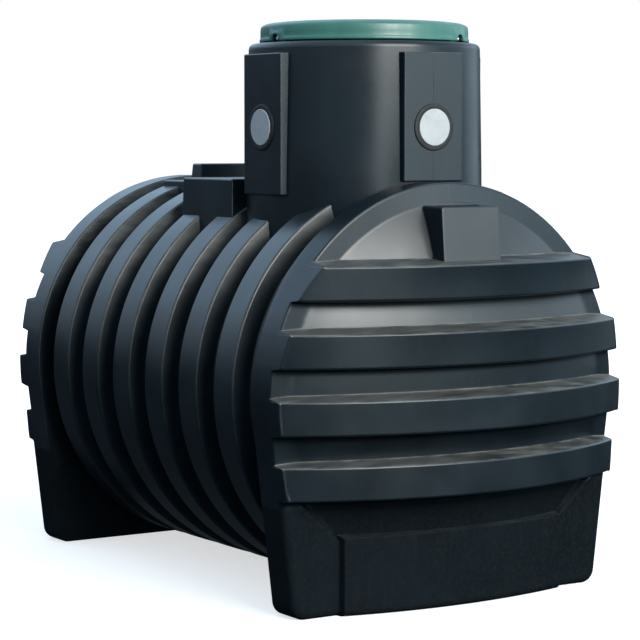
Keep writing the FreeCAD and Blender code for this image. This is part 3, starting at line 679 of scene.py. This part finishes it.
# Moulded black polyethylene: cloudy tone, fine peel, broad unevenness and faint scuffs.
# The point values for dust and painted light, film, foot and painted shade say where dust lies in patches,
# along with painted highlights on edges and painted light on lit sides, where it lies as an even film, where
# the foot is dull and speckled, and where painted shade lowers the gloss.
def blackPlastic(name, look):
    material, tree, shader, place = newMaterial(name)
    cloud = noise(tree, place, 3.1, 5, 0.6)
    peel = noise(tree, place, 330.0, 2, 0.5)
    broad = noise(tree, place, 6.5, 2, 0.4)
    streak = noise(tree, place, 1.0, 4, 0.6, (38.0, 38.0, 2.4))
    patch = noise(tree, place, 1.0, 6, 0.62, (30.0, 9.0, 30.0))
    speck = noise(tree, place, 95.0, 3, 0.7)
    dustAndLight = addNode(tree, "ShaderNodeAttribute", attribute_name="dustAndLight").outputs["Fac"]
    foot = addNode(tree, "ShaderNodeAttribute", attribute_name="foot").outputs["Fac"]
    paintedShade = addNode(tree, "ShaderNodeAttribute", attribute_name="paintedShade").outputs["Fac"]
    film = addNode(tree, "ShaderNodeAttribute", attribute_name="film").outputs["Fac"]
    colour = blend(tree, remap(tree, cloud, 0.35, 0.7, 0.0, 1.0), look["dark"], look["light"])
    scuff = math2(tree, "MULTIPLY", remap(tree, streak, 0.55, 0.8, 0.0, 1.0), look["scuff"])
    colour = blend(tree, scuff, colour, look["scuffColour"])
    dotted = math2(tree, "MULTIPLY", foot, remap(tree, speck, 0.48, 0.66, 0.10, look["speck"]))
    colour = blend(tree, dotted, colour, look["speckColour"])
    # Dust in patches, together with the painted highlights and painted light that share its colour, and the
    # even film.
    dustAndLightShare = math2(tree, "MULTIPLY", dustAndLight, remap(tree, patch, 0.34, 0.66, 0.15, 1.0))
    even = math2(tree, "MULTIPLY", film, remap(tree, cloud, 0.3, 0.7, 0.8, 1.2))
    dustAndLightShare = math2(tree, "MAXIMUM", dustAndLightShare, even)
    colour = blend(tree, dustAndLightShare, colour, look["dustAndLightColour"])
    tree.links.new(colour, shader.inputs["Base Color"])
    sheen = remap(tree, broad, 0.3, 0.7, look["rough"][0], look["rough"][1])
    sheen = math2(tree, "ADD", sheen, math2(tree, "MULTIPLY", dustAndLightShare, look["dustAndLightRough"]))
    sheen = math2(tree, "ADD", sheen, math2(tree, "MULTIPLY", foot, look["footRough"]))
    tree.links.new(sheen, shader.inputs["Roughness"])
    gloss = remap(tree, foot, 0.0, 1.0, look["gloss"], look["footGloss"])
    # Painted shade: the gloss is lowered where the point value for painted shade says so.
    gloss = math2(tree, "MULTIPLY", gloss, remap(tree, paintedShade, 0.0, 1.0, 1.0, look["paintedShadeGloss"]))
    tree.links.new(gloss, shader.inputs["Specular IOR Level"])
    coarse, middling = (broad, look["uneven"], 0.010), (speck, look["speckRelief"], 0.0012)
    bumps(tree, shader, [coarse, middling, (peel, look["peel"], 0.0006)])
    return material


plasticLook = dict(dark=(0.0028, 0.0058, 0.0081), light=(0.0057, 0.0106, 0.0144), scuff=0.15,
                   scuffColour=(0.024, 0.025, 0.025), dustAndLightColour=(0.150, 0.147, 0.131), dustAndLightRough=0.45,
                   speck=1.0, speckColour=(0.0115, 0.0106, 0.0095), speckRelief=0.06, footRough=0.26,
                   footGloss=0.03, paintedShadeGloss=0.08, rough=(0.26, 0.34), gloss=0.5, uneven=0.06, peel=0.10)
tankPlastic = blackPlastic("tank_plastic", plasticLook)


# The smaller pieces: one colour with a cloudy tone, faint worn streaks and a fine peel.
def colouredPlastic(name, look):
    material, tree, shader, place = newMaterial(name)
    cloud = noise(tree, place, look["scale"], 5, 0.6)
    streak = noise(tree, place, 1.0, 4, 0.6, look["stretch"])
    colour = blend(tree, remap(tree, cloud, 0.32, 0.7, 0.0, 1.0), look["dark"], look["light"])
    colour = blend(tree, remap(tree, streak, 0.52, 0.82, 0.0, look["worn"]), colour, look["wornColour"])
    tree.links.new(colour, shader.inputs["Base Color"])
    tree.links.new(remap(tree, streak, 0.3, 0.7, *look["rough"]), shader.inputs["Roughness"])
    shader.inputs["Specular IOR Level"].default_value = look["gloss"]
    shader.inputs["Metallic"].default_value = look.get("metal", 0.0)
    fine = noise(tree, place, look["peelScale"], 2)
    bumps(tree, shader, [(cloud, 0.05, 0.004), (fine, look["peel"], 0.0005)])
    return material


coverGreen = colouredPlastic("cover_green_plastic", dict(
    scale=5.0, stretch=(30.0, 30.0, 4.0), dark=(0.027, 0.109, 0.086), light=(0.036, 0.139, 0.110), worn=0.25,
    wornColour=(0.080, 0.200, 0.165), rough=(0.30, 0.44), gloss=0.5, peelScale=420.0, peel=0.12))
plugGrey = colouredPlastic("plug_grey_plastic", dict(
    scale=26.0, stretch=(60.0, 60.0, 60.0), dark=(0.315, 0.328, 0.328), light=(0.385, 0.398, 0.398), worn=0.3,
    wornColour=(0.29, 0.30, 0.30), rough=(0.36, 0.52), gloss=0.5, peelScale=700.0, peel=0.10))
sealRubber = colouredPlastic("seal_rubber_black", dict(
    scale=40.0, stretch=(80.0, 80.0, 80.0), dark=(0.006, 0.006, 0.007), light=(0.012, 0.012, 0.013), worn=0.4,
    wornColour=(0.030, 0.030, 0.030), rough=(0.55, 0.75), gloss=0.4, peelScale=600.0, peel=0.2))
screwSteel = colouredPlastic("screw_zinc_steel", dict(
    scale=120.0, stretch=(300.0, 300.0, 60.0), dark=(0.50, 0.50, 0.50), light=(0.66, 0.66, 0.65), worn=0.4,
    wornColour=(0.42, 0.40, 0.37), rough=(0.25, 0.45), gloss=0.5, metal=1.0, peelScale=900.0, peel=0.1))
print("materials are ready")

ribNodes = [f"barrel_rib_{k}" for k in range(1, 7)] + [f"barrel_groove_{k}" for k in range(1, 8)]
barrelSkin = makePiece("barrel_skin", barrelSheets(), ribNodes, tankPlastic)
print("barrel is made")


# The nodes that one end's moulding replaces.
def endNodes(end):
    bars = [f"{end}_bar_{k}" for k in range(1, 5)]
    return [f"{end}_end_frame", f"{end}_end_wall", f"{end}_foot_panel"] + bars


# Places and directions of a piece's points, as two lists of three.
def spotsOf(mesh):
    spot, facing = np.empty(len(mesh.vertices) * 3), np.empty(len(mesh.vertices) * 3)
    mesh.vertices.foreach_get("co", spot)
    mesh.vertices.foreach_get("normal", facing)
    return spot.reshape(-1, 3).T, facing.reshape(-1, 3).T


# One number for each point, which the material reads by its name.
def setValue(mesh, name, value):
    mesh.attributes.new(name, "FLOAT", "POINT").data.foreach_set("value", value)


# Dust lies on the upper sides of the bars, on the lower ones more towards +Y, in their creases and on top of
# the pads.
# In the dust colour, painted highlights run along the upper bar edges and the rib edges towards +X, and
# painted light lies on one side of ribs and frames together with some dust. An even film lies on the upper
# dish and on the wedge. Below the bars is the foot.
dustAndLightShape = dict(
    thin=0.44, side=0.78, sideFade=(-0.35, 0.30), sideTop=0.85, crease=1.0, creaseWidth=0.0022,
    edge=0.75, edgeWidth=0.0018, edgeFade=(0.0, 0.5), flank=0.50, flankRise=(0.78, 1.16),
    flankDepth=(0.562, 0.616), flankX=(-0.70, 0.15, 0.38, 0.52), flankShare=(1.75, 1.0, 1.0, 0.38),
    ribEdge=0.60, ribEdgeRise=(0.60, 0.95), ribEdgeDepth=(0.012, 0.008), film=0.12, filmRise=(0.76, 0.84),
    padTop=0.7, foot=(0.335, 0.318), footShare=0.15, widest=0.62)

# Painted shade, made by lowering the gloss: on the bar fronts, more on the upper bars and on the upper half
# of each, on the lower dish and part of the ring, as a painted shadow in a strip under each bar, round the
# rim at +X, beside the wedge's front and on the neck.
paintedShadeShape = dict(
    bar=0.92, barRise=(0.30, 1.0), barLow=0.72, barSide=(-0.66, -0.10), wall=0.40, wallFall=(0.80, 0.74),
    ring=0.50, ringSide=(0.05, 0.30), upright=(0.12, 0.35), under=(0.022, 0.004),
    band=(0.45, 0.90), bandRise=(0.85, 1.22), bandX=(0.60, 0.72), bandDepth=(0.012, 0.004),
    outward=(0.3, 0.6), wedge=0.70, neck=(0.68, 0.34), neckRise=(1.29, 1.65), neckTurn=(30.0, 18.0))


# Painted light in the dust colour, partly dust, on sides that face one way along the barrel: more with height
# and reach, and less towards +X.
def flankDustAndLight(spot, facing, way):
    d = dustAndLightShape
    share = d["flank"] * np.interp(spot[0], d["flankX"], d["flankShare"])
    reach = ramp(offAxis(spot[1], spot[2]), *d["flankDepth"])
    return share * ramp(way * facing[0], 0.5, 0.9) * ramp(spot[2], *d["flankRise"]) * reach


# The rounded rib edges towards +X get a painted highlight in the dust colour, where the surface turns from
# crown to side.
def ribEdgeHighlight(spot, facing):
    d = dustAndLightShape
    low, high = [tank["crown"] - depth for depth in d["ribEdgeDepth"]]
    onEdge = ramp(facing[0], 0.25, 0.55) * (1 - ramp(facing[0], 0.80, 0.95))
    onEdge = onEdge * ramp(offAxis(spot[1], spot[2]), low, high)
    return d["ribEdge"] * onEdge * ramp(spot[2], *d["ribEdgeRise"])


# Which points of an end are on a bar, on the ball of the dish and on the outer side.
def endShares(x, y, z):
    e = endShape
    onBar = ramp(np.abs(x) - backHeight(y, z), *barShape["proud"])
    onBall = 1 - ramp(offAxis(y, z), e["ringIn"] - 0.003, e["ringIn"] + 0.003)
    return onBar, onBall, np.abs(x) > e["edge"] - 0.002


# The most of: dust on level faces, a narrow bell of dust over each crease, and a painted highlight as a bell
# over each upper bar edge.
def dustAndLightEnd(mesh, way):
    d = dustAndLightShape
    spot, facing = spotsOf(mesh)
    x, y, z = spot
    onBar, onBall, outside = endShares(x, y, z)
    patches = d["side"] * ramp(y, *d["sideFade"]) * (z < d["sideTop"])
    dustAndLight = ramp(facing[2], 0.6, 0.9) * np.maximum(patches, d["thin"])
    # A painted highlight along each upper bar edge, fading out towards +Y.
    worn = d["edge"] * (1 - ramp(y, *d["edgeFade"]))
    for middle in barShape["middles"]:
        line = creaseHeight(np.clip(np.abs(y), 0, d["widest"]), middle, 1)
        dustAndLight = np.maximum(dustAndLight, d["crease"] * np.exp(-((z - line) / d["creaseWidth"]) ** 2))
        dustAndLight = np.maximum(dustAndLight, worn * np.exp(-((z - middle - barShape["half"]) / d["edgeWidth"]) ** 2))
    dustAndLight = np.where(z < d["foot"][0], dustAndLight * d["footShare"], dustAndLight)
    inner = np.abs(x) < endShape["start"] + 0.04
    film = d["film"] * ramp(z, *d["filmRise"]) * (way * facing[0] > 0.3)
    setValue(mesh, "film", (1 - onBar) * onBall * film)
    # The inner web gets painted light in the dust colour on one side.
    setValue(mesh, "dustAndLight", dustAndLight * outside + flankDustAndLight(spot, facing, -way) * inner)
    setValue(mesh, "foot", ramp(-z, -d["foot"][0], -d["foot"][1]))


# Painted shade by lowered gloss, the most of: bars with dish and ring on upright faces, a painted shadow in
# the strips under the bars, and the rim.
def paintedShadeEnd(mesh):
    d, half, middles = paintedShadeShape, barShape["half"], np.array(barShape["middles"])
    (x, y, z), facing = spotsOf(mesh)
    onBar, onBall, outside = endShares(x, y, z)
    above = z - middles[np.abs(z[:, None] - middles).argmin(1)]
    share = fade((d["barLow"], 1), ramp(above, -half, half))
    bar = onBar * d["bar"] * ramp(z, *d["barRise"]) * share * ramp(y, *d["barSide"])
    wall = (1 - onBar) * d["wall"] * ramp(-z, -d["wallFall"][0], -d["wallFall"][1])
    ring = (1 - onBar) * (1 - onBall) * d["ring"] * ramp(-y, *d["ringSide"])
    paintedShade = (bar + np.maximum(wall, ring)) * (1 - ramp(np.abs(facing[2]), *d["upright"])) * outside
    # A painted shadow: the gloss drops in a strip just under each bar.
    for middle in middles:
        under = creaseHeight(np.clip(np.abs(y), 0, dustAndLightShape["widest"]), middle, -1) - z
        strip = (under > -0.002) * (1 - ramp(under, d["under"][1], d["under"][0]))
        paintedShade = np.maximum(paintedShade, strip * outside)
    low, high = [tank["crown"] - depth for depth in d["bandDepth"]]
    onRim = ramp(offAxis(y, z), low, high) * (1 - ramp(np.abs(facing[0]), *d["outward"]))
    band = fade(d["band"], ramp(z, *d["bandRise"])) * ramp(x, *d["bandX"]) * onRim
    setValue(mesh, "paintedShade", np.maximum(paintedShade, band))


# Painted shade on the neck, by lowered gloss: beside its front pad, and more so further down.
def paintedShadeNeck(mesh):
    d = paintedShadeShape
    x, y, z = spotsOf(mesh)[0]
    aside = np.degrees(np.abs(np.arctan2(y, x - tank["neckX"])))
    level = fade(d["neck"], ramp(z, *d["neckRise"]))
    setValue(mesh, "paintedShade", level * ramp(-aside, -d["neckTurn"][0], -d["neckTurn"][1]))


spot, facing = spotsOf(barrelSkin.data)
# On the barrel: painted light in the dust colour on the +X sides of the ribs, and a painted highlight on
# their rounded +X edges.
setValue(barrelSkin.data, "dustAndLight", np.maximum(flankDustAndLight(spot, facing, 1), ribEdgeHighlight(spot, facing)))
for end, turn, way in (("front", list, 1), ("rear", mirrorX, -1)):
    moulding = makePiece(f"{end}_end_moulding", turn(endSheets()), endNodes(end), tankPlastic)
    dustAndLightEnd(moulding.data, way)
    paintedShadeEnd(moulding.data)
    wedgeName, wedgeNode = f"{end}_wedge_moulding", f"{end}_wedge"
    wedge = makePiece(wedgeName, turn(wedgeSheets()), [wedgeNode], tankPlastic)
    forward = ramp(way * spotsOf(wedge.data)[1][0], 0.5, 0.9)
    setValue(wedge.data, "film", dustAndLightShape["film"] * forward)
    # Painted shade on the wedge's sides, by lowered gloss.
    setValue(wedge.data, "paintedShade", paintedShadeShape["wedge"] * (1 - forward))
print("ends are made")

neckNodes = ["neck_wall", "neck_shoulder", "neck_collar"]
neck = makePiece("neck_moulding", neckSheets(), neckNodes, tankPlastic)
paintedShadeNeck(neck.data)
for side, turnDeg in (("left", -90), ("front", 0), ("right", 90)):
    pad = makePiece(f"pad_{side}", padSheets(side), [f"neck_pad_{side}"], tankPlastic)
    setValue(pad.data, "dustAndLight", dustAndLightShape["padTop"] * ramp(spotsOf(pad.data)[1][2], 0.3, 0.8))
    makePiece(f"seal_{side}", sealSheets(turnDeg), [f"pipe_seal_{side}"], sealRubber)
    makePiece(f"plug_{side}", plugSheets(turnDeg), [f"pipe_plug_{side}"], plugGrey)
makePiece("pad_seam", padSeamSheets(), [], tankPlastic)
makePiece("cover", lidSheets(), ["lid"], coverGreen)
makePiece("cover_screws", screwSheets(), ["lid_screws"], screwSteel)
for name, node in (("saddle", "saddle_block"), ("ledge", "rear_ledge"), ("upstand", "ledge_upstand")):
    low, high = topShape[name]
    block = blockSheet(low, high, topShape["rounding"], topShape["draft"])
    makePiece(f"{name}_moulding", block, [node], tankPlastic)
print("neck, cover and top blocks are made")

# A pale floor that lights nothing from below; away from the tank it fades into the white background.
stage = dict(half=40.0, floor=(0.50, 0.50, 0.50), floorLight=(0.52, 0.52, 0.52), rough=0.9, nearGlow=0.62,
             farGlow=1.0, fade=(1.6, 4.5), back=(1.0, 1.0, 1.0))
floorMaterial, tree, shader, place = newMaterial("pale_floor")
tint = blend(tree, noise(tree, place, 0.7, 2), stage["floor"], stage["floorLight"])
tree.links.new(tint, shader.inputs["Base Color"])
shader.inputs["Roughness"].default_value = stage["rough"]
shader.inputs["Specular IOR Level"].default_value = 0.0
shader.inputs["Emission Color"].default_value = (1, 1, 1, 1)
distance = addNode(tree, "ShaderNodeVectorMath", operation="LENGTH")
tree.links.new(place, distance.inputs[0])
glow = remap(tree, distance.outputs["Value"], *stage["fade"], stage["nearGlow"], stage["farGlow"])
tree.links.new(glow, shader.inputs["Emission Strength"])
ticks = np.linspace(-stage["half"], stage["half"], 3)
floorMesh = bpy.data.meshes.new("floor")
cornerX, cornerY = np.meshgrid(ticks, ticks)
floorPoints = np.stack([cornerX.ravel(), cornerY.ravel(), np.zeros(9)], 1)
floorMesh.from_pydata(floorPoints.tolist(), [], [(0, 1, 4, 3), (1, 2, 5, 4), (3, 4, 7, 6), (4, 5, 8, 7)])
floorMesh.materials.append(floorMaterial)
floor = bpy.data.objects.new("floor", floorMesh)
bpy.context.scene.collection.objects.link(floor)
floor.visible_glossy = False
floor.visible_diffuse = False

# A bluish dome over the floor, brighter upwards; the camera sees plain white behind the tank.
dome = dict(colour=(0.60, 0.80, 1.0), low=0.05, high=1.2, rise=(0.0, 0.29))
world = bpy.data.worlds.new("studio")
bpy.context.scene.world = world
world.use_nodes = True
tree = world.node_tree
tree.nodes.clear()
seen = addNode(tree, "ShaderNodeLightPath").outputs["Is Camera Ray"]
toward = addNode(tree, "ShaderNodeSeparateXYZ")
tree.links.new(addNode(tree, "ShaderNodeTexCoord").outputs["Generated"], toward.inputs["Vector"])
sky = addNode(tree, "ShaderNodeBackground", Color=dome["colour"] + (1,))
strength = remap(tree, toward.outputs["Z"], *dome["rise"], dome["low"], dome["high"])
tree.links.new(strength, sky.inputs["Strength"])
back = addNode(tree, "ShaderNodeBackground", Color=stage["back"] + (1,), Strength=1.0)
mix = addNode(tree, "ShaderNodeMixShader")
tree.links.new(seen, mix.inputs[0])
tree.links.new(sky.outputs[0], mix.inputs[1])
tree.links.new(back.outputs[0], mix.inputs[2])
tree.links.new(mix.outputs[0], addNode(tree, "ShaderNodeOutputWorld").inputs["Surface"])

# Soft boxes around the tank, each at a heading from +X towards +Y and a height angle, and facing the tank.
lights = dict(
    key=dict(heading=1, rise=25, far=7.0, size=(4.4, 3.0), power=590, colour=(1.0, 0.97, 0.92)),
    horizon=dict(heading=10, rise=8, far=7.0, size=(8.7, 2.8), power=190, colour=(0.70, 0.92, 1.0)),
    side=dict(heading=78, rise=10, far=7.0, size=(9.4, 3.6), power=110, colour=(0.66, 0.86, 1.0)),
    sky=dict(heading=188, rise=36, far=7.0, size=(8.5, 4.6), power=80, colour=(0.40, 0.66, 1.0)),
)
aim = np.array([0.3, 0.0, 0.8])
for name, light in lights.items():
    lamp = bpy.data.lights.new(name, "AREA")
    lamp.shape = "RECTANGLE"
    lamp.size, lamp.size_y = light["size"]
    lamp.energy = light["power"]
    lamp.color = light["colour"]
    item = bpy.data.objects.new(name, lamp)
    bpy.context.scene.collection.objects.link(item)
    heading, rise = math.radians(light["heading"]), math.radians(light["rise"])
    away = np.array([math.cos(heading) * math.cos(rise), math.sin(heading) * math.cos(rise), math.sin(rise)])
    sideways = np.cross([0, 0, 1], away)
    sideways = sideways / np.linalg.norm(sideways)
    upward = np.cross(away, sideways)
    turned = np.eye(4)
    turned[:3, :3] = np.stack([sideways, upward, away], 1)
    turned[:3, 3] = aim + light["far"] * away
    item.matrix_world = Matrix(turned.tolist())

# The camera of the picture: place, heading, tilt, roll and focal length.
view = dict(place=(6.2293, -3.9432, 1.3777), heading=57.273, tilt=4.578, roll=0.038, lens=127.58)
heading, tilt, roll = [math.radians(view[key]) for key in ("heading", "tilt", "roll")]
away = np.array([math.sin(heading) * math.cos(tilt), -math.cos(heading) * math.cos(tilt), math.sin(tilt)])
sideways = np.cross([0, 0, 1], away)
sideways = sideways / np.linalg.norm(sideways)
upward = np.cross(away, sideways)
turned = np.eye(4)
turned[:3, 0] = math.cos(roll) * sideways + math.sin(roll) * upward
turned[:3, 1] = math.cos(roll) * upward - math.sin(roll) * sideways
turned[:3, 2] = away
turned[:3, 3] = view["place"]
lens = bpy.data.cameras.new("photo_view")
lens.lens = view["lens"]
lens.sensor_width = 36.0
lens.clip_end = 200.0
camera = bpy.data.objects.new("photo_view", lens)
camera.matrix_world = Matrix(turned.tolist())
bpy.context.scene.collection.objects.link(camera)
bpy.context.scene.camera = camera
bpy.context.scene.view_settings.view_transform = "Standard"
print("stage, lights and camera are set")
